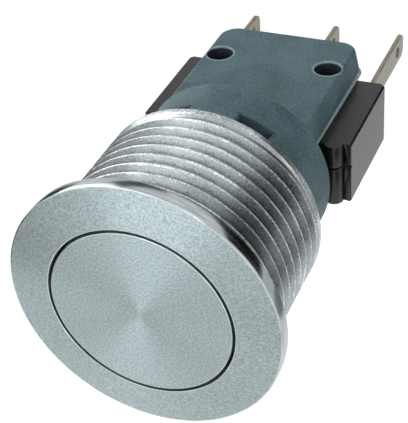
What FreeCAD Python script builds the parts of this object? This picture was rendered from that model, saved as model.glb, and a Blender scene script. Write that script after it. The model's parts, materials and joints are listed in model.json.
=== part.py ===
"""Panel-mounted metal pushbutton with a snap-action switch behind it.

The button's axis is Y. The front faces -Y and the origin is the centre of the flange's back face, where
the panel lies. Z is up, across the switch's thickness, and X runs along the switch's length. Sizes are
millimetres.
"""
import math
import os

import FreeCAD
import Part

V = FreeCAD.Vector
AXIS = V(0, 1, 0)
UP = V(0, 0, 1)

# Housing: flange and barrel
FLANGE_DIAMETER = 22.0
FLANGE_EDGE = 1.2
FLANGE_CROWN = 0.4
FLANGE_BREAK = 0.15
THREAD_DIAMETER = 19.0
BARREL_LENGTH = 12.2
BARREL_CHAMFER = 0.45
REAR_BORE = 15.0
WEB_FRONT = 3.4
WEB_THICKNESS = 2.8
LATCH_FROM_REAR = 2.6
LATCH_DEPTH = 0.4

# Button and stem
BUTTON_BORE = 15.0
BUTTON_GAP = 0.18
BUTTON_BREAK = 0.12
BUTTON_FACE = 1.6
BUTTON_WALL = 0.9
BUTTON_TRAVEL = 1.0
STOP_GAP = 0.4
SKIRT_SETBACK = 0.4
BOSS_DIAMETER = 6.0
STEM_DIAMETER = 5.0
STEM_FIT = 0.05
STEM_GAP = 0.05
SPIGOT_DIAMETER = 3.2
SPIGOT_LENGTH = 2.6
SEAL_SECTION = 0.8
SEAL_INSET = 0.9
SEAL_SIDE = 0.1
CLIP_THICKNESS = 0.5
CLIP_DIAMETER = 8.4
CLIP_GROOVE = 3.8
CLIP_MOUTH = 60.0
CLIP_GAP = 0.05

# Return spring
SPRING_DIAMETER = 9.2
SPRING_WIRE = 0.5
SPRING_TURNS = 2.5
SPRING_RUNS = 16
SPRING_PLAY = 0.08

# Carrier
COLLAR_DIAMETER = 16.5
COLLAR_LENGTH = 5.7
CARRIER_WALL = 1.4
CARRIER_FLOOR = 2.0
PLUG_GAP = 0.1
PLUG_FROM_WEB = 0.7
HOOK_LENGTH = 0.8
TONGUE_ANGLE = 30.0
SLOT_ANGLE = 21.0
SLOT_DEPTH = 2.2
PLATE_THICKNESS = 2.3
PLATE_WIDTH = 12.7
PLATE_DRAFT = 0.4
PLATE_OVERHANG = 2.2
PLATE_CORNER = 1.6

# Snap-action switch: case, pins and plunger
SWITCH_LENGTH = 18.6
SWITCH_OFFSET = 0.1
SWITCH_HEIGHT = 10.4
SWITCH_THICKNESS = 5.7
SWITCH_STANDOFF = 1.7
SWITCH_SEAM = 0.7
SWITCH_PLAY = 0.05
CASE_WALL = 0.8
CASE_FRONT_WALL = 1.1
CASE_BREAK = 0.15
CASE_CORNER = 0.35
CAVITY_DEPTH = 5.1
COLUMN_DIAMETER = 1.6
COLUMN_GROOVE = 0.4
COLUMN_LIP = 0.3
COLUMN_SETBACK = 0.9
PIN_SPACING = 10.0
PIN_FROM_REAR = 2.75
PIN_DIAMETER = 2.3
PIN_FIT = 0.05
PIN_RECESS = 1.2
PLUNGER_DIAMETER = 2.0
PLUNGER_REACH = 1.35
PLUNGER_FIT = 0.1
PLUNGER_HEAD = 3.0
PLUNGER_HEAD_THICKNESS = 0.5
PLUNGER_NOSE = 1.8
PLUNGER_NOSE_LENGTH = 0.95

# Terminals, blade and contacts
TAB_WIDTH = 2.3
TAB_THICKNESS = 0.4
TAB_LENGTH = 11.0
TAB_CHAMFER = 0.45
TAB_HOLE = 1.0
TAB_HOLE_FROM_TIP = 1.9
TAB_LIFT = 0.75
SLOT_FIT = 0.03
COMMON_X = -6.75
OPEN_X = 1.45
CLOSED_X = 7.75
CONTACT_FROM_CLOSED = 1.5
CONTACT_LENGTH = 1.4
CONTACT_WIDTH = 1.6
CONTACT_HEAD = 0.45
CONTACT_SHANK = 0.8
CONTACT_STROKE = 0.5
CONTACT_AIR = 0.04
BLADE_THICKNESS = 0.2
BLADE_WIDTH = 3.8
BLADE_WINDOW = 2.3
BLADE_END = 0.8
BLADE_PIVOT_GAP = 0.05
BLADE_BAR = 1.9
BLADE_FIT = 0.02
LEAF_THICKNESS = 0.12
LEAF_WIDTH = 1.8
LEAF_BOW = 0.55
LEAF_ROOM = 0.6
HOOK_REACH = 3.2

# Places along the axis, from the front to the back
flange_front = -(FLANGE_EDGE + FLANGE_CROWN)
web_back = WEB_FRONT + WEB_THICKNESS
plug_front = web_back + PLUG_FROM_WEB
collar_back = BARREL_LENGTH + COLLAR_LENGTH
switch_front = collar_back + SWITCH_STANDOFF
switch_back = switch_front + SWITCH_HEIGHT
plunger_tip = switch_front - PLUNGER_REACH
stem_end = plunger_tip - STEM_GAP
cavity_front = switch_front + CASE_FRONT_WALL
cavity_back = cavity_front + CAVITY_DEPTH
tab_tip = switch_back + TAB_LENGTH
button_back = flange_front + BUTTON_FACE
boss_back = WEB_FRONT - BUTTON_TRAVEL - STOP_GAP
skirt_back = boss_back - SKIRT_SETBACK
seal_middle = WEB_FRONT + SEAL_INSET
clip_front = web_back + CLIP_GAP
pin_y = switch_back - PIN_FROM_REAR

# Radii and half sizes that more than one piece uses
thread_radius = THREAD_DIAMETER / 2
stem_radius = STEM_DIAMETER / 2
stem_bore = stem_radius + STEM_FIT
rear_radius = REAR_BORE / 2
plug_radius = rear_radius - PLUG_GAP
case_half = SWITCH_THICKNESS / 2
case_left = SWITCH_OFFSET - SWITCH_LENGTH / 2
case_right = SWITCH_OFFSET + SWITCH_LENGTH / 2
plate_foot = case_half + SWITCH_PLAY
plate_top = plate_foot + PLATE_THICKNESS
cavity_half = case_half - CASE_WALL

# The switch's mechanism, from the plunger's side to the back
nose_end = cavity_front + SWITCH_PLAY + PLUNGER_HEAD_THICKNESS + PLUNGER_NOSE_LENGTH
blade_middle = nose_end + LEAF_ROOM
contact_x = CLOSED_X - CONTACT_FROM_CLOSED
closed_face = blade_middle - BLADE_THICKNESS / 2 - CONTACT_HEAD - CONTACT_AIR
closed_strip = closed_face - CONTACT_HEAD
open_face = blade_middle + BLADE_THICKNESS / 2 + CONTACT_HEAD + CONTACT_STROKE + 2 * CONTACT_AIR
open_strip = open_face + CONTACT_HEAD
pivot_x = COMMON_X + TAB_THICKNESS / 2 + BLADE_PIVOT_GAP
hook_x = COMMON_X + HOOK_REACH
blade_tip = contact_x + BLADE_END


def revolve(outline):
    """Turn an outline of (radius, y) points about the button's axis."""
    points = [V(radius, y, 0) for radius, y in outline]
    wire = Part.makePolygon(points + points[:1])
    return Part.Face(wire).revolve(V(0, 0, 0), AXIS, 360)


def block(x0, x1, y0, y1, z0, z1):
    """Box between two corners."""
    return Part.makeBox(x1 - x0, y1 - y0, z1 - z0, V(x0, y0, z0))


def rod(radius, x, z, y0, y1):
    """Cylinder along the button's axis direction."""
    return Part.makeCylinder(radius, y1 - y0, V(x, y0, z), AXIS)


def post(radius, x, y, z0, z1):
    """Cylinder along Z."""
    return Part.makeCylinder(radius, z1 - z0, V(x, y, z0), UP)


def sector(radius, first, last, y0, y1):
    """Wedge of a disc between two angles, counted from +X towards +Z."""
    corner = V(0, y0, 0)
    start = V(radius * math.cos(math.radians(first)), y0, radius * math.sin(math.radians(first)))
    end = V(radius * math.cos(math.radians(last)), y0, radius * math.sin(math.radians(last)))
    half = math.radians((first + last) / 2)
    middle = V(radius * math.cos(half), y0, radius * math.sin(half))
    edges = [Part.makeLine(corner, start), Part.Arc(start, middle, end).toShape(), Part.makeLine(end, corner)]
    return Part.Face(Part.Wire(edges)).extrude(V(0, y1 - y0, 0))


def fuse(first, *others):
    """Join solids into one and clean the seams."""
    return first.multiFuse(list(others)).removeSplitter()


def edges_at(shape, height):
    """Edges that lie in the plane z = height."""
    near = 1e-4
    return [e for e in shape.Edges if all(abs(v.Point.z - height) < near for v in e.Vertexes)]


def housing():
    """Flange with a conical face, barrel at its thread's size, web with the stem's bore, and latch step."""
    rim = FLANGE_DIAMETER / 2
    bore = BUTTON_BORE / 2
    latch = BARREL_LENGTH - LATCH_FROM_REAR
    latch_radius = rear_radius + LATCH_DEPTH
    outside = [
        (bore, flange_front + BUTTON_BREAK),
        (bore + BUTTON_BREAK, flange_front),
        (rim - FLANGE_BREAK, -FLANGE_EDGE),
        (rim, -FLANGE_EDGE + FLANGE_BREAK),
        (rim, 0),
        (thread_radius, 0),
        (thread_radius, BARREL_LENGTH - BARREL_CHAMFER),
        (thread_radius - BARREL_CHAMFER, BARREL_LENGTH),
    ]
    inside = [
        (rear_radius, BARREL_LENGTH),
        (rear_radius, latch),
        (latch_radius, latch),
        (latch_radius, web_back),
        (stem_bore, web_back),
        (stem_bore, WEB_FRONT),
        (bore, WEB_FRONT),
    ]
    return revolve(outside + inside)


def button():
    """Round cap, flush with the flange, with a guiding skirt and a boss that holds the stem."""
    radius = BUTTON_BORE / 2 - BUTTON_GAP
    boss = BOSS_DIAMETER / 2
    spigot = SPIGOT_DIAMETER / 2
    return revolve([
        (0, flange_front),
        (radius - BUTTON_BREAK, flange_front),
        (radius, flange_front + BUTTON_BREAK),
        (radius, skirt_back),
        (radius - BUTTON_WALL, skirt_back),
        (radius - BUTTON_WALL, button_back),
        (boss, button_back),
        (boss, boss_back),
        (spigot, boss_back),
        (spigot, boss_back - SPIGOT_LENGTH),
        (0, boss_back - SPIGOT_LENGTH),
    ])


def pusher():
    """Stem with a spigot in the button's boss, a groove for the seal and one for the clip."""
    groove = stem_bore - SEAL_SECTION - 2 * SLOT_FIT
    groove_half = SEAL_SECTION / 2 + SEAL_SIDE
    clip = CLIP_GROOVE / 2
    clip_back = clip_front + CLIP_THICKNESS
    spigot = SPIGOT_DIAMETER / 2
    return revolve([
        (0, boss_back - SPIGOT_LENGTH),
        (spigot, boss_back - SPIGOT_LENGTH),
        (spigot, boss_back),
        (stem_radius, boss_back),
        (stem_radius, seal_middle - groove_half),
        (groove, seal_middle - groove_half),
        (groove, seal_middle + groove_half),
        (stem_radius, seal_middle + groove_half),
        (stem_radius, clip_front),
        (clip, clip_front),
        (clip, clip_back),
        (stem_radius, clip_back),
        (stem_radius, stem_end),
        (0, stem_end),
    ])


def seal_ring():
    """Square-cut ring in the stem's groove that runs in the web's bore."""
    outer = stem_bore - SLOT_FIT
    half = SEAL_SECTION / 2
    ring = rod(outer, 0, 0, seal_middle - half, seal_middle + half)
    return ring.cut(rod(outer - SEAL_SECTION, 0, 0, seal_middle - half, seal_middle + half))


def retaining_clip():
    """Open ring in the stem's groove behind the web."""
    ring = rod(CLIP_DIAMETER / 2, 0, 0, clip_front, clip_front + CLIP_THICKNESS)
    ring = ring.cut(rod(CLIP_GROOVE / 2, 0, 0, clip_front, clip_front + CLIP_THICKNESS))
    mouth = sector(CLIP_DIAMETER, 270 - CLIP_MOUTH / 2, 270 + CLIP_MOUTH / 2, clip_front,
                   clip_front + CLIP_THICKNESS)
    return ring.cut(mouth)


def return_spring():
    """Coil spring of square wire between the button's back and the web."""
    half = SPRING_WIRE / 2
    radius = SPRING_DIAMETER / 2
    first = button_back + half + SPRING_PLAY
    length = WEB_FRONT - half - SPRING_PLAY - first
    count = int(SPRING_TURNS * SPRING_RUNS)
    turns = [(2 * math.pi * step / SPRING_RUNS, first + length * step / count) for step in range(count + 1)]
    path = Part.makePolygon([V(radius * math.cos(a), y, radius * math.sin(a)) for a, y in turns])
    square = ((-half, -half), (half, -half), (half, half), (-half, half))
    corners = [V(radius + x, first + y, 0) for x, y in square]
    mitred = 1
    return path.makePipeShell([Part.makePolygon(corners + corners[:1])], True, False, mitred)


def drafted(x0, x1, y0, y1, lean_x, lean_y):
    """Block of the plate's height whose foot stands out sideways by lean_x and backwards by lean_y."""
    foot_x0, foot_x1, foot_y1 = x0 - lean_x, x1 + lean_x, y1 + lean_y
    foot = [V(foot_x0, y0, plate_foot), V(foot_x1, y0, plate_foot),
            V(foot_x1, foot_y1, plate_foot), V(foot_x0, foot_y1, plate_foot)]
    top = [V(x0, y0, plate_top), V(x1, y0, plate_top), V(x1, y1, plate_top), V(x0, y1, plate_top)]
    return Part.makeLoft([Part.makePolygon(foot + foot[:1]), Part.makePolygon(top + top[:1])], True, True)


def carrier_plate():
    """Upper plate: its sides and back lean inwards, round two conical rear corners."""
    half = PLATE_WIDTH / 2
    back = switch_back + PLATE_OVERHANG
    corner_x = half - PLATE_CORNER
    corner_y = back - PLATE_CORNER
    sides = drafted(-half, half, collar_back - CARRIER_FLOOR, corner_y, PLATE_DRAFT, 0)
    rear = drafted(-corner_x, corner_x, corner_y, back, 0, PLATE_DRAFT)
    foot_radius = PLATE_CORNER + PLATE_DRAFT
    cones = [Part.makeCone(foot_radius, PLATE_CORNER, PLATE_THICKNESS, V(x, corner_y, plate_foot))
             for x in (-corner_x, corner_x)]
    plate = fuse(sides, rear, *cones)
    for x in (-PIN_SPACING / 2, PIN_SPACING / 2):
        plate = plate.cut(post(PIN_DIAMETER / 2 + PIN_FIT, x, pin_y, plate_foot, plate_top))
    return plate


def carrier():
    """Collar, plug with snap tongues, floor with the stem's guide, and a plate on each side of the switch."""
    collar = COLLAR_DIAMETER / 2
    hollow = plug_radius - CARRIER_WALL
    hook_back = BARREL_LENGTH - LATCH_FROM_REAR - PLUG_GAP
    body = revolve([
        (hollow, plug_front),
        (plug_radius, plug_front),
        (plug_radius, hook_back - HOOK_LENGTH),
        (plug_radius + LATCH_DEPTH, hook_back - PLUG_GAP),
        (plug_radius + LATCH_DEPTH, hook_back),
        (plug_radius, hook_back),
        (plug_radius, BARREL_LENGTH),
        (collar, BARREL_LENGTH),
        (collar, collar_back),
        (stem_bore, collar_back),
        (stem_bore, collar_back - CARRIER_FLOOR),
        (hollow, collar_back - CARRIER_FLOOR),
    ])
    hooks_only = rod(rear_radius + LATCH_DEPTH, 0, 0, plug_front, BARREL_LENGTH)
    hooks_only = hooks_only.cut(rod(plug_radius, 0, 0, plug_front, BARREL_LENGTH))
    side = 90 - TONGUE_ANGLE / 2 - SLOT_ANGLE
    for middle in (0, 180):
        flat = sector(COLLAR_DIAMETER, middle - side, middle + side, plug_front, BARREL_LENGTH)
        body = body.cut(flat.common(hooks_only))
    for middle in (90, 270):
        for sign in (-1, 1):
            near = middle + sign * TONGUE_ANGLE / 2
            far = near + sign * SLOT_ANGLE
            slot = sector(COLLAR_DIAMETER, min(near, far), max(near, far), plug_front,
                          BARREL_LENGTH + SLOT_DEPTH)
            core = rod(hollow, 0, 0, plug_front, BARREL_LENGTH + SLOT_DEPTH)
            body = body.cut(slot.cut(core))
    plate = carrier_plate()
    return fuse(body, plate, plate.mirror(V(0, 0, 0), UP))


def switch_pins():
    """Two pins through the carrier's plates and the switch."""
    reach = plate_top - PIN_RECESS
    pins = []
    for x in (-PIN_SPACING / 2, PIN_SPACING / 2):
        pins.append(post(PIN_DIAMETER / 2, x, pin_y, -reach, reach))
    return Part.makeCompound(pins)


def case_block(z0, z1):
    """Solid outline of the switch's case between two heights: end lips, grooves, round front columns
    and broken back corners."""
    back_front = switch_front + COLUMN_SETBACK
    inset = COLUMN_LIP + COLUMN_GROOVE
    solid = block(case_left, case_right, back_front, switch_back, z0, z1)
    parts = [block(case_left + inset, case_right - inset, switch_front, back_front, z0, z1)]
    lip_front = switch_front + COLUMN_SETBACK / 3
    parts.append(block(case_left, case_left + COLUMN_LIP, lip_front, back_front, z0, z1))
    parts.append(block(case_right - COLUMN_LIP, case_right, lip_front, back_front, z0, z1))
    column = COLUMN_DIAMETER / 2
    for x in (case_left + inset + column, case_right - inset - column):
        parts.append(post(column, x, switch_front + column / 3, z0, z1))
    solid = fuse(solid, *parts)
    middle = (z0 + z1) / 2
    corners = (V(case_left, switch_back, middle), V(case_right, switch_back, middle))
    upright = [e for e in solid.Edges if min(e.CenterOfMass.distanceToPoint(c) for c in corners) < 1e-4]
    return solid.makeChamfer(CASE_CORNER, upright)


def case_openings():
    """Everything that is cut from both halves: cavity, plunger's hole, pin holes and terminal slots."""
    cuts = [block(case_left + CASE_WALL, case_right - CASE_WALL, cavity_front, cavity_back,
                  -cavity_half, cavity_half)]
    cuts.append(rod(PLUNGER_DIAMETER / 2 + PLUNGER_FIT, 0, 0, switch_front, cavity_front))
    for x in (-PIN_SPACING / 2, PIN_SPACING / 2):
        cuts.append(post(PIN_DIAMETER / 2 + PIN_FIT, x, pin_y, -case_half, case_half))
    half_x = TAB_THICKNESS / 2 + SLOT_FIT
    half_z = TAB_WIDTH / 2 + SLOT_FIT
    for x in (COMMON_X, OPEN_X, CLOSED_X):
        cuts.append(block(x - half_x, x + half_x, cavity_back, switch_back,
                          TAB_LIFT - half_z, TAB_LIFT + half_z))
    return cuts


def break_case(solid, height):
    """Break the case's edges at its ends and back, at one height."""
    near = 1e-4
    ends = [e for e in edges_at(solid, height)
            if abs(e.CenterOfMass.x - case_left) < near
            or abs(e.CenterOfMass.x - case_right) < near
            or e.CenterOfMass.y > switch_back - CASE_CORNER]
    return solid.makeChamfer(CASE_BREAK, ends)


def switch_base():
    """Lower half of the case, with its bottom edges broken."""
    solid = break_case(case_block(-case_half, SWITCH_SEAM), -case_half)
    return solid.cut(case_openings())


def switch_cover():
    """Upper half of the case, with its top edges broken."""
    solid = break_case(case_block(SWITCH_SEAM, case_half), case_half)
    return solid.cut(case_openings())


def switch_plunger():
    """Plunger with a head that keeps it in and a nose that works the leaf."""
    radius = PLUNGER_DIAMETER / 2
    head = PLUNGER_HEAD / 2
    nose = PLUNGER_NOSE / 2
    head_front = cavity_front + SWITCH_PLAY
    head_back = head_front + PLUNGER_HEAD_THICKNESS
    return revolve([
        (0, plunger_tip),
        (radius, plunger_tip),
        (radius, head_front),
        (head, head_front),
        (head, head_back),
        (nose, head_back),
        (nose, nose_end),
        (0, nose_end),
    ])


def tab(x, inner_end):
    """Flat terminal from its inner end to its chamfered, pierced tip."""
    left = x - TAB_THICKNESS / 2
    half = TAB_WIDTH / 2
    corners = [
        V(left, inner_end, TAB_LIFT - half),
        V(left, tab_tip - TAB_CHAMFER, TAB_LIFT - half),
        V(left, tab_tip, TAB_LIFT - half + TAB_CHAMFER),
        V(left, tab_tip, TAB_LIFT + half - TAB_CHAMFER),
        V(left, tab_tip - TAB_CHAMFER, TAB_LIFT + half),
        V(left, inner_end, TAB_LIFT + half),
    ]
    blade = Part.Face(Part.makePolygon(corners + corners[:1])).extrude(V(TAB_THICKNESS, 0, 0))
    hole_middle = V(left, tab_tip - TAB_HOLE_FROM_TIP, TAB_LIFT)
    return blade.cut(Part.makeCylinder(TAB_HOLE / 2, TAB_THICKNESS, hole_middle, V(1, 0, 0)))


def foot(x0, x1, y0, y1):
    """Bent part of a terminal inside the case, from the contact's lower side to the tab's upper edge."""
    return block(x0, x1, y0, y1, -CONTACT_WIDTH / 2, TAB_LIFT + TAB_WIDTH / 2)


def common_terminal():
    """Tab whose inner end is the blade's pivot, with a foot and hook that anchor the leaf."""
    outer = COMMON_X - TAB_THICKNESS / 2
    leg = tab(COMMON_X, blade_middle - TAB_THICKNESS)
    arm = foot(outer, hook_x, open_face, open_face + TAB_THICKNESS)
    hook = foot(hook_x - TAB_THICKNESS, hook_x, blade_middle + CONTACT_STROKE, open_face)
    return fuse(leg, arm, hook)


def normally_open_terminal():
    """Middle tab, whose foot reaches behind the moving contact."""
    left = OPEN_X - TAB_THICKNESS / 2
    foot_end = contact_x + CONTACT_LENGTH / 2
    return fuse(tab(OPEN_X, open_strip), foot(left, foot_end, open_strip, open_strip + TAB_THICKNESS))


def normally_closed_terminal():
    """End tab, whose foot reaches in front of the moving contact."""
    right = CLOSED_X + TAB_THICKNESS / 2
    foot_end = contact_x - CONTACT_LENGTH / 2
    strip_front = closed_strip - TAB_THICKNESS
    return fuse(tab(CLOSED_X, strip_front), foot(foot_end, right, strip_front, closed_strip))


def bar(length, width, y0, y1):
    """Block of a length along X and a width along Z, centred on the contacts."""
    return block(contact_x - length / 2, contact_x + length / 2, y0, y1, -width / 2, width / 2)


def fixed_contact(y0, y1):
    """Contact bar on a terminal's foot."""
    return bar(CONTACT_LENGTH, CONTACT_WIDTH, y0, y1)


def contact_blade():
    """Flat blade that rocks on the common terminal, with a window for the leaf and the plunger's nose."""
    y0 = blade_middle - BLADE_THICKNESS / 2
    y1 = blade_middle + BLADE_THICKNESS / 2
    half = BLADE_WIDTH / 2
    window = BLADE_WINDOW / 2
    strip = block(pivot_x, blade_tip, y0, y1, -half, half)
    strip = strip.cut(block(pivot_x + BLADE_BAR, contact_x - BLADE_BAR, y0, y1, -window, window))
    shank = CONTACT_SHANK + 2 * BLADE_FIT
    return strip.cut(bar(shank, shank, y0, y1))


def moving_contact():
    """Contact bar on each side of the blade's end, joined through its slot."""
    front = blade_middle - BLADE_THICKNESS / 2
    back = blade_middle + BLADE_THICKNESS / 2
    return fuse(
        fixed_contact(front - CONTACT_HEAD, front),
        bar(CONTACT_SHANK, CONTACT_SHANK, front, back),
        fixed_contact(back, back + CONTACT_HEAD),
    )


def snap_spring():
    """Bowed leaf from the common terminal's hook to the end of the blade's window."""
    start = V(hook_x + BLADE_FIT, blade_middle + CONTACT_STROKE + LEAF_THICKNESS, 0)
    end = V(contact_x - BLADE_BAR - BLADE_FIT, blade_middle, 0)
    crest = V((start.x + end.x) / 2, min(start.y, end.y) - LEAF_BOW + LEAF_THICKNESS, 0)
    depth = V(0, LEAF_THICKNESS, 0)
    outline = Part.Wire([
        Part.Arc(start, crest, end).toShape(),
        Part.makeLine(end, end + depth),
        Part.Arc(end + depth, crest + depth, start + depth).toShape(),
        Part.makeLine(start + depth, start),
    ])
    leaf = Part.Face(outline).extrude(V(0, 0, LEAF_WIDTH))
    leaf.translate(V(0, 0, -LEAF_WIDTH / 2))
    return leaf


NODES = {
    "housing": housing(),
    "button": button(),
    "pusher": pusher(),
    "seal_ring": seal_ring(),
    "retaining_clip": retaining_clip(),
    "return_spring": return_spring(),
    "carrier": carrier(),
    "switch_pins": switch_pins(),
    "switch_base": switch_base(),
    "switch_cover": switch_cover(),
    "switch_plunger": switch_plunger(),
    "common_terminal": common_terminal(),
    "normally_open_terminal": normally_open_terminal(),
    "normally_closed_terminal": normally_closed_terminal(),
    "contact_blade": contact_blade(),
    "moving_contact": moving_contact(),
    "snap_spring": snap_spring(),
    "normally_open_contact": fixed_contact(open_face, open_strip),
    "normally_closed_contact": fixed_contact(closed_strip, closed_face),
}

os.makedirs("parts", exist_ok=True)
for name, shape in NODES.items():
    shape.exportStep(f"parts/{name}.step")
    print(f"{name}: {len(shape.Solids)} solid, {shape.Volume:.2f} mm3, valid {shape.isValid()}")
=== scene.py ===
"""Looks of a panel-mounted metal pushbutton with a snap-action switch behind it.

Shapes are modelled in millimetres, in the model's own frame: the button's axis is Y with the front at -Y,
Z is up and X runs along the switch. Each finished mesh is scaled to metres once.
"""
import json
import math

import bmesh
import bpy
from mathutils import Matrix, Vector


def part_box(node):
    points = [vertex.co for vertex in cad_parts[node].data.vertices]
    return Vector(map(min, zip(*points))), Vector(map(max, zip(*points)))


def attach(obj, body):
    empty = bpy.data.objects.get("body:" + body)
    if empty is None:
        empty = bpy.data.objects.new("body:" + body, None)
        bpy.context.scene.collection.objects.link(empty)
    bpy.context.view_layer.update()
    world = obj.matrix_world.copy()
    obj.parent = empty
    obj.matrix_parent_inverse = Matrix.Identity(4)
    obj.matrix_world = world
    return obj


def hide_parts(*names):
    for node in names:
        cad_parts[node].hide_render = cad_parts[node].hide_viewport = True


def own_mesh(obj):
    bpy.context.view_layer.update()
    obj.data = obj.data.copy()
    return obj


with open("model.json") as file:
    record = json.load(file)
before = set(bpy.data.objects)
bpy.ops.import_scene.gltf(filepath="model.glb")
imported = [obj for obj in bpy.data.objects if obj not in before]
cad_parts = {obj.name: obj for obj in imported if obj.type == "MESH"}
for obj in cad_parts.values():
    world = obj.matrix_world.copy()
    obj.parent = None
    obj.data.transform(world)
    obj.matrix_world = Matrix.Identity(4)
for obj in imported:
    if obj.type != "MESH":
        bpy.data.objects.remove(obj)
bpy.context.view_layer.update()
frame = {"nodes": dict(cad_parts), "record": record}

MM = 0.001
AXIS = Vector((0, 1, 0))
BOX_MARGIN = 0.002

# Points this close are one point, and measures this close are the same
MERGE = 1e-4
NEAR = 1e-3

# Angles in degrees: a steeper edge stays sharp in the shading, and flatter facets are joined to one face
SHARP_ANGLE = 40.0
FLAT_ANGLE = 1.0

# Angles in degrees from which an edge is broken, on plain shapes and on copies of the solids
CREASE = 50.0
FINE_CREASE = 30.0

# How far a facet's middle may lie under a round skin, and the tilt of a face that still looks straight out
FACET_SAG = 0.01
FACES_OUT = 0.1

# Middle of a rounded edge, measured from the corner, as a share of the edge's width
ROUNDING = 0.3

# Points of a rounded thread crest, along the barrel and into it, as shares of THREAD_ROUND
CREST_ARC = ((0.6, 0.4), (1.0, 1.1))


def box_mm(node):
    """Lowest and highest corner of a node, in millimetres."""
    low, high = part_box(node)
    return low / MM, high / MM


housing_low, housing_high = box_mm("housing")
button_low, button_high = box_mm("button")
carrier_low, carrier_high = box_mm("carrier")
case_low = box_mm("switch_base")[0]
cover_low, cover_high = box_mm("switch_cover")
seam_z = cover_low.z
pins_low, pins_high = box_mm("switch_pins")

# Housing
FLANGE_EDGE = 1.2
FLANGE_BREAK = 0.14
BUTTON_GAP = 0.18
GAP_BREAK = 0.12
WEB_FRONT = 3.4
WEB_BACK = 6.2
STEM_BORE = 2.55
REAR_BORE = 7.5
LATCH_RADIUS = 7.9
LATCH_Y = 9.6
THREAD_RADIUS = 9.49
THREAD_PITCH = 1.25
THREAD_DEPTH = 0.52
THREAD_CREST = 0.09
THREAD_ROUND = 0.05
THREAD_ROOT = 0.16
THREAD_TOP_CREST = 1.65
THREAD_START = 0.3
RUN_OUT_START = 10.45
RUN_OUT_END = 11.3
BARREL_CHAMFER = 0.45
RELIEF_RADIUS = 8.6
TURN_STEPS = 144

# Button
BUTTON_WALL = 0.9
BUTTON_FLOOR = 0.0
BUTTON_SKIRT = 1.6
BOSS_RADIUS = 3.0
SPIGOT_RADIUS = 1.6
SPIGOT_LENGTH = 2.6

# Carrier
COLLAR_FRONT = 12.2
COLLAR_BACK = 17.9
COLLAR_BREAK = 0.15
HOLLOW_RADIUS = 6.0
PLUG_RADIUS = 7.4
FLOOR_FRONT = 15.9
SLOT_END = 14.4
TONGUE_HALF = 15.0
SLOT_FAR = 36.0
RING_STEPS = 120
PARTING_ANGLE = 3.0
PARTING_WIDTH = 0.13
PARTING_HEIGHT = 0.05
HOOK_BACK = 9.5
HOOK_LENGTH = 0.8
HOOK_HEIGHT = 0.4
HOOK_FLAT = 0.1
PLATE_FOOT = 2.9
PLATE_TOP = 5.2
PLATE_WIDTH = 12.7
PLATE_DRAFT = 0.4
PLATE_CORNER = 1.6
PLATE_ROOT = 0.5
PLATE_ROUND = 0.32
PLATE_ROUND_STEPS = 4
FOOT_STRIP = 0.26
LIP_FLARE = 0.14
CORNER_STEPS = 12
HOLE_RADIUS = 1.2
HOLE_RIM = 0.22
HOLE_STEPS = 40

# Switch and terminals, with the middles of the three tabs along the switch
TERMINALS = ("common_terminal", "normally_open_terminal", "normally_closed_terminal")
TAB_PLACES = (-6.75, 1.45, 7.75)
TAB_ROOM = 0.4
TAB_ROOT = 0.1
TAB_CORNER = 0.45
TAB_BREAK = 0.06
COLUMN_SETBACK = 0.9
CASE_SKIN = 0.3
CASE_BREAK = 0.06
SEAM_HALF = 0.13
SEAM_DEPTH = 0.3
GROOVE_FLOOR = 20.5
GROOVE_SHALLOW = 19.95
GROOVE_NEAR = 0.25
GROOVE_FAR = 0.75
PLUNGER_ROOM = 1.5
PIN_RADIUS = 1.15
PIN_BREAK = 0.25

# Shares of their depth that the springs keep at full press
COIL_KEEP = 0.69
LEAF_KEEP = 0.24

# Camera, read from the photograph: degrees, and millimetres for the rest
CAMERA_AZIMUTH = 25.64
CAMERA_ELEVATION = 36.49
CAMERA_ROLL = -4.99
CAMERA_DISTANCE = 98.1
CAMERA_TARGET = Vector((0.94, 8.8, 2.16))
CAMERA_LENS = 111.26
SENSOR = 36.0

# Studio, in metres and as strengths of white
FLOOR_Z = -0.06
FLOOR_RADIUS = 1.5
FLOOR_GLOW = 0.3
WORLD_FILL = 0.4
CARD_DISTANCE = 0.25
LAMP_DISTANCE = 0.35


def linear(hex_color):
    """An sRGB hex colour as linear RGBA."""
    values = [int(hex_color[i:i + 2], 16) / 255 for i in (1, 3, 5)]
    return [v / 12.92 if v <= 0.04045 else ((v + 0.055) / 1.055) ** 2.4 for v in values] + [1.0]


def feed(tree, node, inputs):
    """Give a node its inputs. Each is a value or another node's output."""
    for name, value in inputs.items():
        if isinstance(value, bpy.types.NodeSocket):
            tree.links.new(value, node.inputs[name])
        else:
            node.inputs[name].default_value = value


def add(tree, kind, inputs=None, **settings):
    """Add a shader node with its settings and inputs."""
    node = tree.nodes.new("ShaderNode" + kind)
    for name, value in settings.items():
        setattr(node, name, value)
    feed(tree, node, inputs or {})
    return node


def combine(tree, operation, first, second):
    """One number worked out from two."""
    return add(tree, "Math", {0: first, 1: second}, operation=operation).outputs["Value"]


def spread(tree, pattern, least, most, low=0.3, high=0.7):
    """Number that runs from least to most while a pattern runs from low to high."""
    return add(tree, "MapRange", {"Value": pattern, "From Min": low, "From Max": high,
                                  "To Min": least, "To Max": most}).outputs["Result"]


def two_tone(tree, pattern, dark, light, low=0.3, high=0.7):
    """Colour ramp that runs from dark to light while a pattern runs from low to high."""
    ramp = add(tree, "ValToRGB", {"Fac": pattern})
    for stop, position, tone in zip(ramp.color_ramp.elements, (low, high), (dark, light)):
        stop.position = position
        stop.color = linear(tone)
    return ramp


def mix(tree, factor, first, second, **settings):
    """Colour between two colours."""
    return add(tree, "Mix", {"Factor": factor, "A": first, "B": second},
               data_type="RGBA", **settings).outputs["Result"]


def scale_for(size_mm):
    """Texture scale that makes one feature this many millimetres wide in a mesh of metres."""
    return 1 / (size_mm * MM)


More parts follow.
